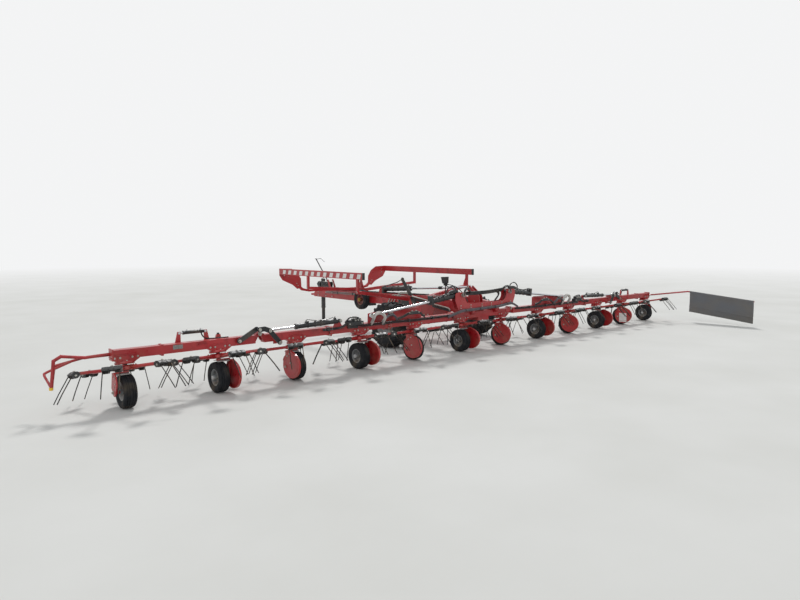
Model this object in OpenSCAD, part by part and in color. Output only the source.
// Trailed hay tedder with twelve rotors, in work position and parked on its jack.
// X runs across the machine, Y forward to the hitch, Z up from the ground.

/* [Rotor row] */
// Spacing of neighbouring rotors along the row
rotor_pitch = 1055; // [1050:1:1060]
// Distance of the rotor row behind the origin
row_back = 1525; // [1500:5:1550]
// Height of the rotor hubs above the ground
hub_h = 440; // [435:1:445]
// Forward lean of the rotor axes in degrees
rotor_tilt = 12; // [10:0.5:13]
// Radius of the circle that the tine tips run on
tine_circle_r = 690; // [670:5:695]
// Drop of the tine tips below the rotor arms
tine_drop = 280; // [265:1:282]
// Diameter of the tine wire
tine_d = 10; // [8:0.5:12]
// Diameter of the tubular rotor arms
arm_d = 34; // [30:1:36]
// Number of arms on each rotor
arm_count = 6; // [6:1:6]

/* [Row beam] */
// Height and depth of the square row beam
beam_size = 100; // [90:2:104]
// Height of the middle of the row beam
beam_mid_h = 595; // [590:1:598]
// Distance of the main fold hinges from the middle
main_hinge_x = 740; // [735:1:745]
// Height of the main fold hinges
main_hinge_h = 640; // [637:1:643]
// Height of the outer fold hinges
outer_hinge_h = 660; // [658:1:664]
// Length of beam outside the last rotor
beam_overhang = 128; // [110:2:140]

/* [Gauge wheels] */
// Diameter of the gauge wheels
gauge_d = 370; // [360:2:372]
// Width of the gauge wheels
gauge_w = 136; // [130:2:146]
// Diameter of the gauge wheel axles
gauge_axle_d = 24; // [20:1:28]
// Radius of the round part of the wheel shields
shield_r = 165; // [155:1:170]

/* [Transport wheels] */
// Diameter of the transport wheels
road_d = 780; // [760:5:790]
// Width of the transport wheels
road_w = 340; // [320:5:350]
// Distance of the transport wheels from the middle
road_x = 1100; // [1080:5:1115]
// Distance of the transport axle ahead of the rotor row
road_ahead = 1100; // [1090:5:1120]
// Diameter of the transport axle stubs
road_axle_d = 60; // [54:2:66]

/* [Chassis] */
// Distance of the tilt pivot ahead of the rotor row
tilt_ahead = 850; // [840:2:860]
// Height of the tilt pivot
tilt_h = 800; // [795:1:805]
// Width of the drawbar box
drawbar_w = 200; // [180:5:210]
// Distance of the hitch eye ahead of the rotor row
hitch_ahead = 5160; // [5120:5:5180]
// Diameter of the hole in the hitch eye
hitch_hole_d = 50; // [50:1:52]
// Distance of the jack ahead of the rotor row
jack_ahead = 4760; // [4740:5:4780]

/* [Side guards] */
// Distance of the guards' inner faces from the middle
guard_x = 1392; // [1390:1:1405]
// Height of the guards' upper edge
guard_top_h = 1275; // [1265:5:1300]
// Depth of the guard rails
guard_depth = 120; // [110:5:125]
// Start of the guards ahead of the rotor row
guard_from = 1450; // [1430:5:1500]
// End of the guard rails ahead of the rotor row
guard_to = 4250; // [4200:5:4270]

/* [Hidden] */
$fn = 48;
// Running clearance on the radius of pins, shafts and rods
fit = 0.05;
row_y = -row_back;
beam_half = beam_size / 2;
beam_top_h = beam_mid_h + beam_half;
beam_low_h = beam_mid_h - beam_half;
// Gap between a beam's end and its fold hinge
hinge_gap = 60;
hinge_r = 30;
hinge_pin_r = 16;
hinge_cheek = 14;
outer_hinge_x = 4 * rotor_pitch;
outer_end_x = 5.5 * rotor_pitch + beam_overhang;
wheel_r = gauge_d / 2;

// Rotor hub, spindle and tine carriers
hub_r = 85;
hub_half = 30;
spindle_r = 24;
gearbox_gap = 8;
gearbox_r = 95;
saddle_half = 150;
saddle_t = 6;
holder_r = 500;
holder_w = 190;
holder_d = 90;
holder_t = 28;
// Rise of the holder's ridge above the arm's axis
holder_ridge = 25;
coil_r = 32;
coil_l = 50;
coil_drop = 16;
tine_off = 58;
tine_splay = 80;

// Gauge wheel legs: plate beside the tyre, and the dished shield on it
leg_gap = 50;
leg_t = 12;
shield_t = 8;
shield_lip = 28;
shield_rim_t = 5;
shield_top_r = 58;
shield_top = [-98, 345];
shield_len = 130;
// Width of the shield as a share of its height
shield_wide = 1.18;
// Bow over the tyre: clearance, thickness and the angles it spans from the front
bow_gap = 14;
bow_t = 6;
bow_from = 72;
bow_to = 106;
leg_x = gauge_w / 2 + leg_gap;
wheel_hub_half = 65;

// Layers of the fold linkages, measured from the beam's middle plane
main_cyl_y = -55;
knee_cyl_y = -105;
plate_rear_y = -115;
plate_front_y = 9;
plate_t = 12;
lever_y = 4;

// Main fold cylinder: base pin, gland and rod eye, from the middle outwards
main_base = [600, 950];
main_eye = [2450, 750];
main_barrel_l = 690;
main_barrel_r = 40;
main_rod_r = 20;

// Outer fold knee: pins, apex, rod eye and cylinder base, from the middle outwards
knee_in = [outer_hinge_x - 220, outer_hinge_h - 120];
knee_out = [outer_hinge_x + 290, outer_hinge_h - 60];
knee_apex = [outer_hinge_x + 60, outer_hinge_h + 65];
knee_bend = [outer_hinge_x - 10, outer_hinge_h + 70];
knee_eye = [outer_hinge_x - 80, outer_hinge_h + 40];
knee_base = [outer_hinge_x - 1170, outer_hinge_h + 70];
knee_barrel_l = 700;
knee_barrel_r = 32;
knee_rod_r = 15;
link_t = 12;
link_in_y = -160;
link_out_y = -84;

// Tilt cylinder: base and rod eye as [ahead of the row, height]
tilt_base = [2620, 870];
tilt_eye = [260, 1030];
tilt_barrel_l = 840;
tilt_barrel_r = 45;
tilt_rod_r = 20;

// Jack
jack_y = row_y + jack_ahead;
jack_leg_r = 38;
jack_sleeve_r = 47;
jack_leg_top = 600;

paint = [0.72, 0.09, 0.09];
dark = [0.08, 0.08, 0.09];
steel = [0.75, 0.75, 0.77];
rubber = [0.06, 0.06, 0.06];
canvas = [0.45, 0.46, 0.47];

// Place of rotor number i, counted from the left
function rotor_x(i) = (i - 6.5) * rotor_pitch;

// Side of rotor i on which its wheel shield stands
function shield_side(i) = i % 2 == 1 ? -1 : 1;

// Angle and length of the line between two points of a plane
function slope(a, b) = atan2(b[1] - a[1], b[0] - a[0]);
function span(a, b) = norm(b - a);

// Points of an arc around c
function arc(c, r, from, to, n = 8) =
    [for (i = [0:n]) c + r * [cos(from + (to - from) * i / n), sin(from + (to - from) * i / n)]];

// Draws on the right as built and on the left mirrored
module on_side(right) {
    if (right)
        children();
    else
        mirror([1, 0, 0]) children();
}

// Frame of a rotor: origin in the hub, Z along the leaning axis
module rotor_frame(i) {
    translate([rotor_x(i), row_y, hub_h]) rotate([-rotor_tilt, 0, 0]) children();
}

// Extrudes an outline drawn in X and Z along Y, from y0 to y1
module slab(y0, y1) {
    translate([0, y1, 0]) rotate([90, 0, 0]) linear_extrude(y1 - y0) children();
}

// Extrudes an outline drawn in Y and Z along X, from x0 to x1
module side_slab(x0, x1) {
    translate([x0, 0, 0]) rotate([90, 0, 90]) linear_extrude(x1 - x0) children();
}

// Round bar along Y at a point of the X-Z plane
module bar_y(p, r, y0, y1) {
    translate([p[0], y1, p[1]]) rotate([90, 0, 0]) cylinder(r = r, h = y1 - y0);
}

// Round bar along X at a point of the Y-Z plane
module bar_x(p, r, x0, x1) {
    translate([x0, p[0], p[1]]) rotate([0, 90, 0]) cylinder(r = r, h = x1 - x0);
}

// Round bar between two points
module bar(a, b, r) {
    v = b - a;
    translate(a)
        rotate([0, acos(v[2] / norm(v)), atan2(v[1], v[0])])
            cylinder(r = r, h = norm(v));
}

// Tube path of round bars with balls at the corners
module pipe(points, r) {
    for (i = [0:len(points) - 2])
        bar(points[i], points[i + 1], r);
    for (i = [1:len(points) - 2])
        translate(points[i]) sphere(r = r + 1);
}

// Flat link of constant width between two points, drawn in a plane
module link_outline(a, b, r) {
    turn = slope(a, b);
    polygon(concat(arc(a, r, turn + 90, turn + 270, 10), arc(b, r, turn - 90, turn + 90, 10)));
}

// Rotors

// Ridged holder with the coils of its two tines below it
module tine_holder() {
    half = holder_d / 2;
    translate([holder_r, 0, 0]) {
        slab(-holder_w / 2, holder_w / 2) polygon([
            [-half, -holder_t / 2], [-half, 0], [-half / 2, holder_ridge - 3], [half / 4, holder_ridge],
            [half, 0], [half, -holder_t / 2]
        ]);
        for (s = [-1, 1])
            bar_y([0, -coil_drop], coil_r, s * tine_off - coil_l / 2, s * tine_off + coil_l / 2);
    }
}

module rotor(i) {
    reach = holder_r - holder_d / 4;
    tip_x = tine_circle_r;
    phase = i % 2 == 0 ? 180 / arm_count : 0;
    color(paint) rotor_frame(i) rotate([0, 0, phase])
        difference() {
            union() {
                translate([0, 0, -hub_half]) cylinder(r = hub_r, h = 2 * hub_half);
                for (n = [0:arm_count - 1])
                    rotate([0, 0, n * 360 / arm_count]) {
                        rotate([0, 90, 0]) cylinder(r = arm_d / 2, h = reach);
                        tine_holder();
                        for (s = [-1, 1])
                            bar([holder_r, s * tine_off, -holder_t / 2], [tip_x, s * tine_splay, -tine_drop],
                                tine_d / 2, $fn = 16);
                    }
            }
            translate([0, 0, -hub_half - 1]) cylinder(r = spindle_r + fit, h = 2 * hub_half + 2);
        }
}

// Gauge wheels and their legs

// Cross-section of a tyre of radius r and width w on a rim of radius rim, drawn as [radius, across]
module tyre_section(r, w, rim) {
    shoulder = w * 0.16;
    polygon(concat(
        [[rim, -w * 0.36]],
        arc([r - shoulder, -w / 2 + shoulder], shoulder, 180 + 60, 360, 6),
        arc([r - shoulder, w / 2 - shoulder], shoulder, 0, 180 - 60, 6),
        [[rim, w * 0.36]]
    ));
}

module gauge_wheel(i) {
    rim_r = wheel_r * 0.5;
    color(rubber) translate([rotor_x(i), row_y, wheel_r]) rotate([0, 90, 0])
        difference() {
            union() {
                rotate_extrude() tyre_section(wheel_r, gauge_w, rim_r - 4);
                rotate_extrude() translate([0, -10]) square([rim_r, 20]);
                translate([0, 0, -wheel_hub_half]) cylinder(r = 30, h = 2 * wheel_hub_half);
            }
            translate([0, 0, -wheel_hub_half - 1]) cylinder(r = gauge_axle_d / 2 + fit, h = 2 * wheel_hub_half + 2);
        }
}

module gauge_leg(i) {
    s = shield_side(i);
    axle_r = gauge_axle_d / 2;
    top_h = hub_h - 45;
    // The spindle through the rotor's hub, from the gearbox above to the leg below
    rotor_frame(i) translate([0, 0, -hub_half - 22])
        cylinder(r = spindle_r, h = 2 * hub_half + 22 + gearbox_gap);
    rotor_frame(i) translate([0, 0, -hub_half - 22])
        cylinder(r = 34, h = 16);
    translate([rotor_x(i), row_y, 0]) {
        // Arm from the spindle over the tyre to the leg plate
        rotate([-rotor_tilt, 0, 0])
            translate([s > 0 ? 0 : -leg_x - leg_t, -32 + sin(rotor_tilt) * -hub_h, 0])
                translate([0, 0, hub_h * cos(rotor_tilt) - hub_half - 22]) cube([leg_x + leg_t, 64, 14]);
        // Leg plate down to the axle, the shield on it and the axle
        mirror([s > 0 ? 0 : 1, 0, 0]) {
            if (i == 1 || i == 12)
                end_leg_plate(top_h);
            else {
                side_slab(leg_x, leg_x + leg_t) polygon([
                    [-32, top_h + 12], [24, top_h], [36, wheel_r], [0, wheel_r - 36], [-36, wheel_r]
                ]);
                wheel_shield();
            }
            side_slab(-leg_x / 4, leg_x + 2) polygon(concat(
                arc([0, wheel_r], wheel_r + bow_gap + bow_t, bow_from, bow_to),
                arc([0, wheel_r], wheel_r + bow_gap, bow_to, bow_from)
            ));
            bar_x([0, wheel_r], axle_r, -wheel_hub_half - 16, leg_x + leg_t);
            bar_x([0, wheel_r], 21, wheel_hub_half + 1, leg_x);
            bar_x([0, wheel_r], 21, -wheel_hub_half - 14, -wheel_hub_half - 1);
        }
    }
}

// Wide leg plate of the two end wheels, which have no shield
module end_leg_plate(top_h) {
    side_slab(leg_x, leg_x + leg_t) polygon(concat(
        [[62, wheel_r + 40], [24, top_h], [-32, top_h + 12], [-100, top_h - 20], [-125, wheel_r + 95]],
        arc([-25, wheel_r + 12], 52, 190, 350, 10)
    ));
}

// Drop-shaped outline of a wheel shield, which leans with the rotor
module shield_outline(low_r, top_r) {
    turn = asin((low_r - top_r) / shield_len);
    translate(shield_top) rotate(-rotor_tilt) scale([shield_wide, 1])
        polygon(concat(
            arc([0, -shield_len], low_r, 180 - turn, 360 + turn, 24),
            arc([0, 0], top_r, turn, 180 - turn, 10)
        ));
}

// Dished shield with a lip towards the tyre
module wheel_shield() {
    face = leg_x + leg_t + shield_t;
    difference() {
        side_slab(face - shield_lip, face) shield_outline(shield_r, shield_top_r);
        side_slab(face - shield_lip - 1, face - shield_t)
            shield_outline(shield_r - shield_rim_t, shield_top_r - shield_rim_t);
    }
}

module gauge_legs(first, last) {
    color(paint)
        for (i = [first:last])
            gauge_leg(i);
}

// Row beams

// Gearbox between the beam and a rotor's spindle
module gearbox(i) {
    low = hub_half + gearbox_gap;
    rotor_frame(i) translate([0, 0, low]) cylinder(r = gearbox_r, h = 30);
    rotor_frame(i) translate([0, 0, low]) cylinder(r1 = gearbox_r, r2 = 60, h = 75);
    // Flared saddle that holds the gearbox under the beam
    translate([rotor_x(i), 0, 0]) slab(row_y - beam_half - saddle_t, row_y + beam_half + saddle_t) polygon([
        [-saddle_half, beam_low_h + 15], [-saddle_half + 15, beam_low_h - 7], [-75, beam_low_h - 45],
        [75, beam_low_h - 45], [saddle_half - 15, beam_low_h - 7], [saddle_half, beam_low_h + 15],
        [saddle_half - 45, beam_low_h + 47], [45 - saddle_half, beam_low_h + 47]
    ]);
}

module beam_box(x0, x1) {
    translate([x0, row_y - beam_half, beam_low_h]) cube([x1 - x0, beam_size, beam_size]);
}

// Strap from a hinge pin into the end of a beam that lies on side dir of it
module hinge_strap(hinge_x, hinge_h, dir) {
    inside = hinge_gap + 40;
    polygon(concat(
        arc([hinge_x, hinge_h], hinge_r, 90 - dir * 35, 90 + dir * 200, 16),
        [
            [hinge_x + dir * (hinge_gap - 12), beam_low_h + 20], [hinge_x + dir * inside, beam_low_h + 20],
            [hinge_x + dir * inside, beam_top_h - 2], [hinge_x + dir * (hinge_gap - 12), beam_top_h - 2]
        ]
    ));
}

// Fork of two cheeks on a beam's outer end, with the hinge pin between them
module hinge_fork(hinge_x, hinge_h) {
    for (y = [-beam_half, beam_half - hinge_cheek])
        slab(row_y + y, row_y + y + hinge_cheek) hinge_strap(hinge_x, hinge_h, -1);
    bar_y([hinge_x, hinge_h], hinge_pin_r, row_y - beam_half, row_y + beam_half);
}

// Eye on a beam's inner end, which turns on the hinge pin
module hinge_eye(hinge_x, hinge_h) {
    side = beam_half - hinge_cheek - 5;
    difference() {
        slab(row_y - side, row_y + side) hinge_strap(hinge_x, hinge_h, 1);
        bar_y([hinge_x, hinge_h], hinge_pin_r + fit, row_y - beam_half - 1, row_y + beam_half + 1);
    }
}

module inner_beam(right) {
    x0 = main_hinge_x + hinge_gap;
    x1 = outer_hinge_x - hinge_gap;
    color(paint) {
        on_side(right) {
            beam_box(x0, x1);
            hinge_eye(main_hinge_x, main_hinge_h);
            hinge_fork(outer_hinge_x, outer_hinge_h);
            main_lever();
            // Pins that carry the knee link and the knee cylinder
            bar_y(knee_in, 12, row_y + link_in_y - 6, row_y - beam_half);
            translate([knee_in[0] - 40, row_y - beam_half - 10, knee_in[1] - 25]) cube([80, 10, 50]);
            bar_y(knee_base, 12, row_y + knee_cyl_y - 30, row_y - beam_half);
            slab(row_y - beam_half - 12, row_y - beam_half)
                polygon([
                    knee_base + [-90, -120], knee_base + [90, -120], knee_base + [24, 16], knee_base + [-24, 16]
                ]);
        }
        for (k = [2:4])
            gearbox(right ? 6 + k : 7 - k);
    }
}

// Long raised plate on the inner beam, to which the main cylinder's rod is pinned
module main_lever() {
    slab(row_y + lever_y - plate_t, row_y + lever_y) polygon([
        [1430, beam_top_h], [1430, 790], [1470, 805], [2400, 785], [2475, 775], [2479, beam_top_h]
    ]);
    bar_y(main_eye, 18, row_y + main_cyl_y + main_rod_r + 4, row_y + lever_y);
}

module outer_beam(right) {
    x0 = outer_hinge_x + hinge_gap;
    color(paint) {
        on_side(right) {
            beam_box(x0, outer_end_x);
            hinge_eye(outer_hinge_x, outer_hinge_h);
            bar_y(knee_out, 12, row_y + link_out_y - 8, row_y - beam_half);
            end_lugs();
        }
        for (k = [5:6])
            gearbox(right ? 6 + k : 7 - k);
        if (right)
            deflector_tube();
        else
            end_guard();
    }
}

// Two lugs ahead of the outer beam, which hold the short end cylinder
end_lug_x = [4860, 5180];
end_cyl_h = 745;
end_cyl_y = 85;
module end_lugs() {
    for (n = [0, 1]) {
        x = end_lug_x[n];
        s = n == 0 ? 1 : -1;
        slab(row_y + end_cyl_y - 6, row_y + end_cyl_y + 6) polygon([
            [x - s * 55, beam_top_h - 45], [x + s * 20, beam_top_h - 45],
            [x + s * 20, end_cyl_h + 14], [x - s * 15, end_cyl_h + 14]
        ]);
        translate([x - 40, row_y + beam_half, beam_top_h - 45]) cube([60, end_cyl_y - beam_half + 6, 30]);
    }
}

module end_cylinder(right) {
    color(dark) on_side(right)
        bar([end_lug_x[0] + 20, row_y + end_cyl_y, end_cyl_h], [end_lug_x[1] - 20, row_y + end_cyl_y, end_cyl_h], 22);
}

// Bent tube hoop at the left end of the row
guard_tube_r = 17;
guard_tip_h = 310;
module end_guard() {
    pipe([
        [-outer_end_x + 60, row_y + 40, beam_mid_h + 5],
        [-outer_end_x - 250, row_y + 40, beam_mid_h - 5],
        [-outer_end_x - 470, row_y + 45, beam_mid_h + 33],
        [-outer_end_x - 540, row_y + 40, beam_mid_h - 5],
        [-outer_end_x - 570, row_y + 40, guard_tip_h]
    ], guard_tube_r);
    pipe([
        [-outer_end_x + 60, row_y + 40, beam_mid_h - 5],
        [-outer_end_x - 270, row_y + 60, beam_mid_h - 10],
        [-outer_end_x - 490, row_y + 260, beam_mid_h - 95],
        [-outer_end_x - 570, row_y + 40, guard_tip_h]
    ], guard_tube_r - 3);
}

// Tube at the right end of the row, which carries the canvas deflector
deflector_x = outer_end_x + 470;
deflector_front = -800;
deflector_rear = -2150;
deflector_top = [667, 530];
deflector_low = [227, 68];
deflector_seat = 17.5;
module deflector_tube() {
    front_h = deflector_top[0] + deflector_seat
        + 50 * (deflector_top[0] - deflector_top[1]) / (deflector_front - deflector_rear);
    pipe([
        [outer_end_x - 20, row_y - beam_half + 20, beam_mid_h + 5],
        [outer_end_x - 20, row_y - beam_half - 90, beam_mid_h + 10],
        [deflector_x, row_y + deflector_front + 50, front_h],
        [deflector_x, row_y + deflector_rear, deflector_top[1] + deflector_seat]
    ], guard_tube_r);
}

module canvas_deflector() {
    color(canvas) side_slab(deflector_x - 6, deflector_x + 6) polygon([
        [row_y + deflector_front, deflector_top[0]], [row_y + deflector_rear, deflector_top[1]],
        [row_y + deflector_rear, deflector_low[1]], [row_y + deflector_front, deflector_low[0]]
    ]);
}

// Centre frame

arm_x = 300;
arm_w = 80;
module centre_frame() {
    pivot = [row_y + tilt_ahead, tilt_h];
    color(paint)
        difference() {
            union() {
                beam_box(-main_hinge_x + hinge_gap, main_hinge_x - hinge_gap);
                for (right = [false, true])
                    on_side(right) {
                        hinge_fork(main_hinge_x, main_hinge_h);
                        side_slab(arm_x - arm_w / 2, arm_x + arm_w / 2) polygon([
                            [row_y - 100, beam_top_h - 10], [row_y - 103, 760], [row_y + 60, 780],
                            [pivot[0] - 40, pivot[1] + 55], [pivot[0] + 30, pivot[1] + 50],
                            [pivot[0] + 50, pivot[1]], [pivot[0] + 20, pivot[1] - 45],
                            [row_y + 120, beam_low_h + 10], [row_y, beam_low_h + 10]
                        ]);
                    }
                cylinder_plate();
                tilt_lever();
                for (i = [6, 7])
                    gearbox(i);
                // Central gearbox
                translate([-130, row_y - beam_half, beam_low_h - 60]) cube([260, 190, 110]);
            }
            bar_x(pivot, 25 + fit, -arm_x - arm_w, arm_x + arm_w);
        }
}

// Rear and front plates that carry the main cylinders' base pins
module cylinder_plate() {
    slab(row_y + plate_rear_y, row_y + plate_rear_y + plate_t) plate_outline(765);
    slab(row_y + plate_front_y - plate_t, row_y + plate_front_y) plate_outline(main_hinge_x - 17);
    for (s = [-1, 1])
        bar_y([s * main_base[0], main_base[1]], 16, row_y + plate_rear_y, row_y + plate_front_y);
}

module plate_outline(ear_out) {
    ear_in = 440;
    polygon(concat(
        [[65 - ear_out, 712], [ear_out - 65, 712], [ear_out, 860], [ear_out, 965]],
        arc([ear_out - 40, 965], 25, 20, 90, 3),
        [[540, 992]],
        arc([ear_in - 10, 900], 100, 20, -80, 6),
        [[300, 795], [-300, 795]],
        arc([-ear_in + 10, 900], 100, 260, 160, 6),
        [[-540, 992]],
        arc([-ear_out + 40, 965], 25, 90, 160, 3),
        [[-ear_out, 965], [-ear_out, 860]]
    ));
}

// Two cheeks above the beam, to which the tilt cylinder's rod is pinned
module tilt_lever() {
    for (x = [-44, 32])
        side_slab(x, x + 12) polygon([
            [row_y - 20, beam_top_h - 10], [row_y + 20, 900], [row_y + tilt_eye[0] - 30, tilt_eye[1] + 28],
            [row_y + tilt_eye[0] + 30, tilt_eye[1] + 20], [row_y + tilt_eye[0] + 20, tilt_eye[1] - 60],
            [row_y + 230, beam_top_h - 10]
        ]);
    for (s = [-1, 1])
        bar_x([row_y + tilt_eye[0], tilt_eye[1]], 20, s > 0 ? 24 : -44, s > 0 ? 44 : -24);
    translate([-44, row_y - 20, beam_top_h - 30]) cube([88, 250, 30]);
}

// Chassis, axle and drawbar

plate_in_x = 215;
module chassis() {
    pivot = [row_y + tilt_ahead, tilt_h];
    axle = [row_y + road_ahead, road_d / 2];
    color(paint) {
        for (right = [false, true])
            on_side(right) {
                side_slab(plate_in_x, plate_in_x + 30) polygon([
                    [pivot[0] - 50, pivot[1] + 20], [pivot[0] - 20, pivot[1] + 52], [pivot[0] + 40, pivot[1] + 50],
                    [row_y + 1800, 800], [row_y + 1800, 600], [axle[0] + 100, axle[1] - 60],
                    [axle[0] - 60, axle[1] - 60], [pivot[0] - 40, pivot[1] - 50]
                ]);
                bar_x(axle, road_axle_d / 2, road_x - 230, road_x + road_w / 2 + 8);
                bar_x(axle, 50, road_x - 230, road_x - road_w / 2 - 1);
                bar_x(axle, 48, road_x + road_w / 2 + 1, road_x + road_w / 2 + 12);
                bar_x(pivot, 36, arm_x + arm_w / 2 + 5, arm_x + arm_w / 2 + 18);
            }
        bar_x(pivot, 25, -arm_x - arm_w / 2 - 18, arm_x + arm_w / 2 + 18);
        translate([-road_x + 230, axle[0] - 55, axle[1] - 55]) cube([2 * road_x - 460, 110, 110]);
        // Cross members on both sides of the drawbar
        for (y = [row_y + 1250, row_y + 1650])
            for (s = [-1, 1])
                translate([s > 0 ? drawbar_w / 2 : -plate_in_x, y, 640]) cube([plate_in_x - drawbar_w / 2, 60, 130]);
    }
}

// Height of the drawbar's upper and lower faces at a distance ahead of the row
drawbar_rear = 1200;
drawbar_front = 4900;
function drawbar_top(l) = 830 - 90 * (l - drawbar_rear) / (drawbar_front - drawbar_rear);
function drawbar_low(l) = 575 + 10 * (l - drawbar_rear) / (drawbar_front - drawbar_rear);

module drawbar() {
    eye = [row_y + hitch_ahead, 620];
    color(paint)
        difference() {
            union() {
                side_slab(-drawbar_w / 2, drawbar_w / 2) polygon([
                    [row_y + drawbar_rear, drawbar_low(drawbar_rear)], [row_y + drawbar_rear, drawbar_top(drawbar_rear)],
                    [row_y + drawbar_front, drawbar_top(drawbar_front)], [row_y + drawbar_front + 90, 665],
                    [row_y + drawbar_front + 90, 585], [row_y + drawbar_front, drawbar_low(drawbar_front)]
                ]);
                // Hitch eye
                translate([-60, row_y + drawbar_front + 60, 600]) cube([120, hitch_ahead - drawbar_front - 60, 40]);
                translate([0, eye[0], 600]) cylinder(r = 60, h = 40);
                tilt_clevis();
                rest_bracket();
                head_plates();
                spare_bracket();
            }
            translate([0, eye[0], 590]) cylinder(r = hitch_hole_d / 2, h = 60);
            translate([0, jack_y, 500]) cylinder(r = jack_sleeve_r, h = 400);
        }
}

module tilt_clevis() {
    y = row_y + tilt_base[0];
    cheek = tilt_barrel_r + 8;
    for (x = [-cheek - plate_t, cheek])
        side_slab(x, x + plate_t) polygon([
            [y - 90, drawbar_low(tilt_base[0]) + 150], [y - 26, tilt_base[1] + 20], [y + 26, tilt_base[1] + 20],
            [y + 90, drawbar_low(tilt_base[0]) + 150]
        ]);
    bar_x([y, tilt_base[1]], 20, -cheek, cheek);
}

// Two inclined plates on the drawbar's head
module head_plates() {
    for (x = [-coupling_half - 14, coupling_half + 4])
        side_slab(x, x + 10) polygon([
            [row_y + 4320, drawbar_top(4320) - 10], [row_y + 4400, drawbar_top(4400) - 10],
            [row_y + 4505, coupling_h + 55], [row_y + 4455, coupling_h + 62]
        ]);
}

module rest_bracket() {
    y = row_y + 3370;
    for (x = [-45, 35])
        side_slab(x, x + 10) polygon([[y - 120, 740], [y + 10, 1050], [y + 50, 1050], [y + 110, 740]]);
    translate([-45, y + 10, 1020]) cube([90, 40, 30]);
}

spare_y = row_y + 3070;
spare_h = 630;
spare_x = -200;
module spare_bracket() {
    bar_x([spare_y, spare_h], gauge_axle_d / 2, spare_x - 75, -drawbar_w / 2);
    bar_x([spare_y, spare_h], 45, spare_x + 66, -drawbar_w / 2);
}

module spare_wheel() {
    rim_r = wheel_r * 0.5;
    color(rubber) translate([spare_x, spare_y, spare_h]) rotate([0, 90, 0])
        difference() {
            union() {
                rotate_extrude() tyre_section(wheel_r, gauge_w - 20, rim_r - 4);
                rotate_extrude() translate([0, -10]) square([rim_r, 20]);
                translate([0, 0, -wheel_hub_half]) cylinder(r = 30, h = 2 * wheel_hub_half);
            }
            translate([0, 0, -wheel_hub_half - 1]) cylinder(r = gauge_axle_d / 2 + fit, h = 2 * wheel_hub_half + 2);
        }
}

// Black fittings on the drawbar: jack sleeve, hose arm, input shaft and box
input_h = 870;
input_back = 170;
box_from = 2950;
box_to = 3140;
box_low_h = 510;
coupling_from = 4470;
coupling_to = 4690;
coupling_half = 56;
coupling_h = 930;
lever_foot = [1600, 753];
lever_head = [1900, 1105];
lever_r = 24;
module drawbar_fittings() {
    y_front = row_y + drawbar_front + 90;
    color(dark) {
        difference() {
            translate([0, jack_y, 330]) cylinder(r = jack_sleeve_r - fit, h = 650);
            translate([0, jack_y, 320]) cylinder(r = jack_leg_r + fit, h = 640);
        }
        hose_arm();
        // Input shaft in its bearing
        side_slab(-50, 50) polygon([
            [y_front - input_back, drawbar_top(drawbar_front + 90 - input_back)],
            [y_front - 90, drawbar_top(drawbar_front)],
            [y_front - 90, input_h], [y_front - input_back, input_h]
        ]);
        bar([0, y_front - input_back, input_h], [0, y_front - 80, input_h], 60);
        // Box for the hose couplings behind the jack, and the rope lever beside the drawbar
        side_slab(-coupling_half, coupling_half) polygon([
            [row_y + coupling_from, drawbar_top(coupling_from)], [row_y + coupling_to, drawbar_top(coupling_to)],
            [row_y + coupling_to, coupling_h], [row_y + coupling_from, coupling_h]
        ]);
        side_slab(-drawbar_w / 2 - 12, -drawbar_w / 2) {
            link_outline([row_y + lever_foot[0], lever_foot[1]], [row_y + lever_head[0], lever_head[1]], lever_r);
            translate([row_y + lever_head[0], lever_head[1]]) circle(r = lever_r + 10);
        }
        bar([0, y_front - 90, input_h], [0, y_front + 10, input_h], 17.45);
        // Box under the drawbar
        side_slab(10 - drawbar_w / 2, drawbar_w / 2 - 10) polygon([
            [row_y + box_from, drawbar_low(box_from)], [row_y + box_to, drawbar_low(box_to)],
            [row_y + box_to, box_low_h], [row_y + box_from, box_low_h]
        ]);
    }
}

hose_arm_ahead = hitch_ahead - 600;
hose_arm_h = 1440;
module hose_arm() {
    y = row_y + hose_arm_ahead;
    foot_h = drawbar_top(hose_arm_ahead) + 27;
    side_slab(-20, 20) polygon([
        [y - 30, drawbar_top(hose_arm_ahead - 30)], [y + 30, drawbar_top(hose_arm_ahead + 30)],
        [y + 30, foot_h], [y - 30, foot_h]
    ]);
    pipe([
        [0, y, foot_h - 5], [0, y + 60, foot_h + 225], [0, y + 480, hose_arm_h], [0, y + 500, hose_arm_h + 10]
    ], 12);
    pipe([[0, y + 480, hose_arm_h - 2], [0, y + 290, hose_arm_h + 15], [0, y + 140, hose_arm_h - 60]], 5);
}

module jack_leg() {
    color(dark) {
        translate([0, jack_y, 8]) cylinder(r = jack_leg_r, h = jack_leg_top - 8);
        translate([0, jack_y, 0]) cylinder(r = 95, h = 12);
    }
}

// Bar lugs of a transport tyre: count a side, height, width and slant of a bar
lug_count = 19;
lug_rise = 22;
lug_w = 26;
lug_slant = 24;
// Bars on both halves of the tread, cut to the tyre's outer circle and rounded at the shoulders
module lugs() {
    reach = road_w / 2 - 6;
    intersection() {
        for (side = [-1, 1])
            for (n = [0:lug_count - 1])
                rotate([0, 0, (n + (side > 0 ? 0.5 : 0)) * 360 / lug_count])
                    translate([road_d / 2 - lug_rise - 40, 0, 0]) rotate([side * lug_slant, 0, 0])
                        translate([0, -lug_w / 2, side > 0 ? -8 : -reach * 1.1]) cube([90, lug_w, reach * 1.1 + 8]);
        rotate_extrude() polygon([
            [road_d / 2 - lug_rise - 30, -reach], [road_d / 2 - 30, -reach], [road_d / 2, 26 - reach],
            [road_d / 2, reach - 26], [road_d / 2 - 30, reach], [road_d / 2 - lug_rise - 30, reach]
        ]);
    }
}

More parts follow.
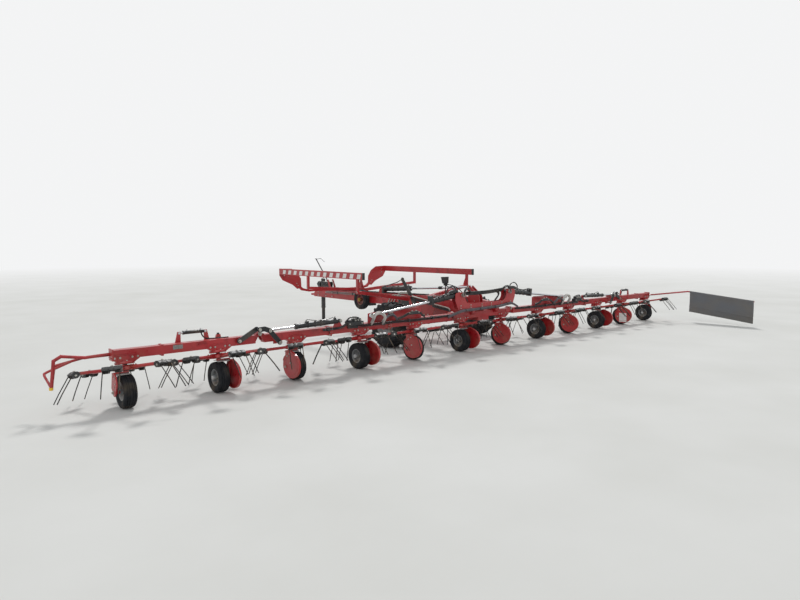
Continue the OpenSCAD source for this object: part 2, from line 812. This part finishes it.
module transport_wheel(right) {
    rim_r = 205;
    half = road_w / 2;
    color(rubber) on_side(right)
        translate([road_x, row_y + road_ahead, road_d / 2]) rotate([0, 90, 0])
            difference() {
                union() {
                    rotate_extrude() tyre_section(road_d / 2 - lug_rise, road_w, rim_r - 4);
                    lugs();
                    rotate_extrude() translate([0, 20]) square([rim_r, 24]);
                    translate([0, 0, -half]) cylinder(r = 75, h = road_w);
                }
                translate([0, 0, -half - 1]) cylinder(r = road_axle_d / 2 + fit, h = road_w + 2);
            }
}

// Side guards, of a rail, posts with arms to the chassis and drawbar, and a front plate

guard_t = 40;
post_ahead = [1620, 3200];
// Underside of the posts, where their arms reach them
post_low_h = 900;
front_t = 10;
front_arm_h = 762;
front_arm_half = 20;
module guard(right) {
    low = guard_top_h - guard_depth;
    out = guard_x + guard_t;
    front = row_y + guard_to;
    color(paint) on_side(right) {
        translate([guard_x, row_y + guard_from, low]) cube([guard_t, guard_to - guard_from, guard_depth]);
        // Front plate across the rail's end, and its arm on the drawbar
        slab(front, front + front_t) polygon([
            [out, guard_top_h], [out, low - 20], [guard_x - 32, low - 125], [guard_x - 272, low - 230],
            [guard_x - 382, low - 320], [guard_x - 487, low - 305], [guard_x - 477, low - 105],
            [guard_x - 392, low + 25], [guard_x - 252, guard_top_h - 10]
        ]);
        slab(front, front + 2 * front_arm_half) polygon([
            [700, front_arm_h + 2 * front_arm_half], [700, front_arm_h], [guard_x - 500, front_arm_h + 32],
            [guard_x - 420, low - 290], [guard_x - 440, low - 240], [guard_x - 530, front_arm_h + 80]
        ]);
        translate([0, front, front_arm_h]) cube([720, 2 * front_arm_half, 2 * front_arm_half]);
        saddle(guard_to + front_arm_half, front_arm_h, front_arm_half);
        // Posts and their arms
        for (n = [0, 1])
            translate([guard_x, row_y + post_ahead[n] - 25, post_low_h]) cube([guard_t, 50, low - post_low_h]);
        side_slab(guard_x, guard_x + 10) polygon([
            [row_y + post_ahead[0], low], [row_y + post_ahead[0] + 90, post_low_h + 30],
            [row_y + post_ahead[0], post_low_h]
        ]);
        guard_arm(post_ahead[0], 35, plate_in_x + 30, 715);
        guard_arm(post_ahead[1], 25, 0, 800);
        saddle(post_ahead[1], 800, 25);
    }
}

// Arm that rises from height h at inner to the foot of a guard's post
module guard_arm(ahead, half, inner, h) {
    out = guard_x + guard_t;
    slab(row_y + ahead - half, row_y + ahead + half) polygon([
        [inner, h], [inner, h + 60], [guard_x - 60, post_low_h + 50], [out, post_low_h + 50], [out, post_low_h],
        [guard_x, post_low_h]
    ]);
}

// Seat of an arm of underside height h on the drawbar's upper face
module saddle(ahead, h, half) {
    side_slab(0, 60) polygon([
        [row_y + ahead - half, drawbar_top(ahead - half)], [row_y + ahead + half, drawbar_top(ahead + half)],
        [row_y + ahead + half, h + 5], [row_y + ahead - half, h + 5]
    ]);
}

// Cylinders

// Barrel from base pin to gland along X, bored for its rod, with an eye at the base
module cylinder_barrel(length, r, rod_r, pin_r, eye_w) {
    difference() {
        union() {
            translate([35, 0, 0]) rotate([0, 90, 0]) cylinder(r = r, h = length - 35);
            translate([0, eye_w / 2, 0]) rotate([90, 0, 0]) cylinder(r = pin_r + 14, h = eye_w);
            translate([0, -eye_w / 2, -pin_r]) cube([45, eye_w, 2 * pin_r]);
            translate([length - 30, 0, 0]) rotate([0, 90, 0]) cylinder(r = r + 3, h = 30);
        }
        translate([pin_r + 24, 0, 0]) rotate([0, 90, 0]) cylinder(r = rod_r + fit, h = length);
        translate([0, eye_w, 0]) rotate([90, 0, 0]) cylinder(r = pin_r + fit, h = 2 * eye_w);
    }
}

// Rod from inside the barrel to its eye along X
module cylinder_rod(from, length, rod_r, eye_r, eye_w) {
    translate([from, 0, 0]) rotate([0, 90, 0]) cylinder(r = rod_r, h = length - from - eye_r / 2);
    translate([length, eye_w / 2, 0]) rotate([90, 0, 0]) cylinder(r = eye_r, h = eye_w);
}

// Frame of a cylinder in the X-Z plane, with X from base towards eye
module cylinder_frame(base, eye, y) {
    translate([base[0], row_y + y, base[1]]) rotate([0, -slope(base, eye), 0]) children();
}

module main_barrel(right) {
    color(dark) on_side(right) cylinder_frame(main_base, main_eye, main_cyl_y)
        cylinder_barrel(main_barrel_l, main_barrel_r, main_rod_r, 16, 60);
}

module main_rod(right) {
    color(steel) on_side(right) cylinder_frame(main_base, main_eye, main_cyl_y)
        cylinder_rod(main_barrel_l - 110, span(main_base, main_eye), main_rod_r, 32, 30);
}

module knee_barrel(right) {
    color(dark) on_side(right) cylinder_frame(knee_base, knee_eye, knee_cyl_y)
        cylinder_barrel(knee_barrel_l, knee_barrel_r, knee_rod_r, 12, 40);
}

module knee_rod(right) {
    color(steel) on_side(right) cylinder_frame(knee_base, knee_eye, knee_cyl_y)
        cylinder_rod(knee_barrel_l - 110, span(knee_base, knee_eye), knee_rod_r, 25, 26);
}

module knee_link_inner(right) {
    color(dark) on_side(right)
        difference() {
            union() {
                slab(row_y + link_in_y, row_y + link_in_y + link_t) {
                    link_outline(knee_in, knee_eye, 30);
                    link_outline(knee_eye, knee_bend, 30);
                    link_outline(knee_bend, knee_apex, 30);
                }
                bar_y(knee_eye, 14, row_y + link_in_y - 8, row_y + knee_cyl_y - knee_rod_r - 2);
                bar_y(knee_apex, 14, row_y + link_in_y - 8, row_y + link_out_y - 4);
            }
            bar_y(knee_in, 12 + fit, row_y + link_in_y - 10, row_y + link_in_y + link_t + 1);
        }
}

module knee_link_outer(right) {
    color(dark) on_side(right)
        difference() {
            slab(row_y + link_out_y, row_y + link_out_y + link_t) link_outline(knee_out, knee_apex, 30);
            bar_y(knee_out, 12 + fit, row_y + link_out_y - 1, row_y + link_out_y + link_t + 1);
        }
}

// The tilt cylinder lies in the Y-Z plane, with its base ahead of its rod eye
module tilt_frame() {
    translate([0, row_y + tilt_base[0], tilt_base[1]]) rotate([0, 0, -90])
        rotate([0, -slope([-tilt_base[0], tilt_base[1]], [-tilt_eye[0], tilt_eye[1]]), 0]) children();
}

module tilt_barrel() {
    color(dark) tilt_frame() cylinder_barrel(tilt_barrel_l, tilt_barrel_r, tilt_rod_r, 20, 70);
}

module tilt_rod() {
    color(steel) tilt_frame()
        cylinder_rod(tilt_barrel_l - 40, span(tilt_base, tilt_eye), tilt_rod_r, 34, 30);
}

drawbar();
drawbar_fittings();
chassis();
guard(false);  // guard_left
guard(true);  // guard_right
spare_wheel();
jack_leg();
transport_wheel(false);  // transport_wheel_left
transport_wheel(true);  // transport_wheel_right
centre_frame();
gauge_legs(6, 7);  // gauge_legs_centre
inner_beam(false);  // inner_beam_left
inner_beam(true);  // inner_beam_right
gauge_legs(3, 5);  // gauge_legs_inner_left
gauge_legs(8, 10);  // gauge_legs_inner_right
outer_beam(false);  // outer_beam_left
outer_beam(true);  // outer_beam_right
gauge_legs(1, 2);  // gauge_legs_outer_left
gauge_legs(11, 12);  // gauge_legs_outer_right
end_cylinder(false);  // end_cylinder_left
end_cylinder(true);  // end_cylinder_right
canvas_deflector();
tilt_barrel();
tilt_rod();
main_barrel(false);  // main_barrel_left
main_barrel(true);  // main_barrel_right
main_rod(false);  // main_rod_left
main_rod(true);  // main_rod_right
knee_barrel(false);  // knee_barrel_left
knee_barrel(true);  // knee_barrel_right
knee_rod(false);  // knee_rod_left
knee_rod(true);  // knee_rod_right
knee_link_inner(false);  // knee_link_inner_left
knee_link_inner(true);  // knee_link_inner_right
knee_link_outer(false);  // knee_link_outer_left
knee_link_outer(true);  // knee_link_outer_right
rotor(1);  // rotor_1
rotor(2);  // rotor_2
rotor(3);  // rotor_3
rotor(4);  // rotor_4
rotor(5);  // rotor_5
rotor(6);  // rotor_6
rotor(7);  // rotor_7
rotor(8);  // rotor_8
rotor(9);  // rotor_9
rotor(10);  // rotor_10
rotor(11);  // rotor_11
rotor(12);  // rotor_12
gauge_wheel(1);  // gauge_wheel_1
gauge_wheel(2);  // gauge_wheel_2
gauge_wheel(3);  // gauge_wheel_3
gauge_wheel(4);  // gauge_wheel_4
gauge_wheel(5);  // gauge_wheel_5
gauge_wheel(6);  // gauge_wheel_6
gauge_wheel(7);  // gauge_wheel_7
gauge_wheel(8);  // gauge_wheel_8
gauge_wheel(9);  // gauge_wheel_9
gauge_wheel(10);  // gauge_wheel_10
gauge_wheel(11);  // gauge_wheel_11
gauge_wheel(12);  // gauge_wheel_12
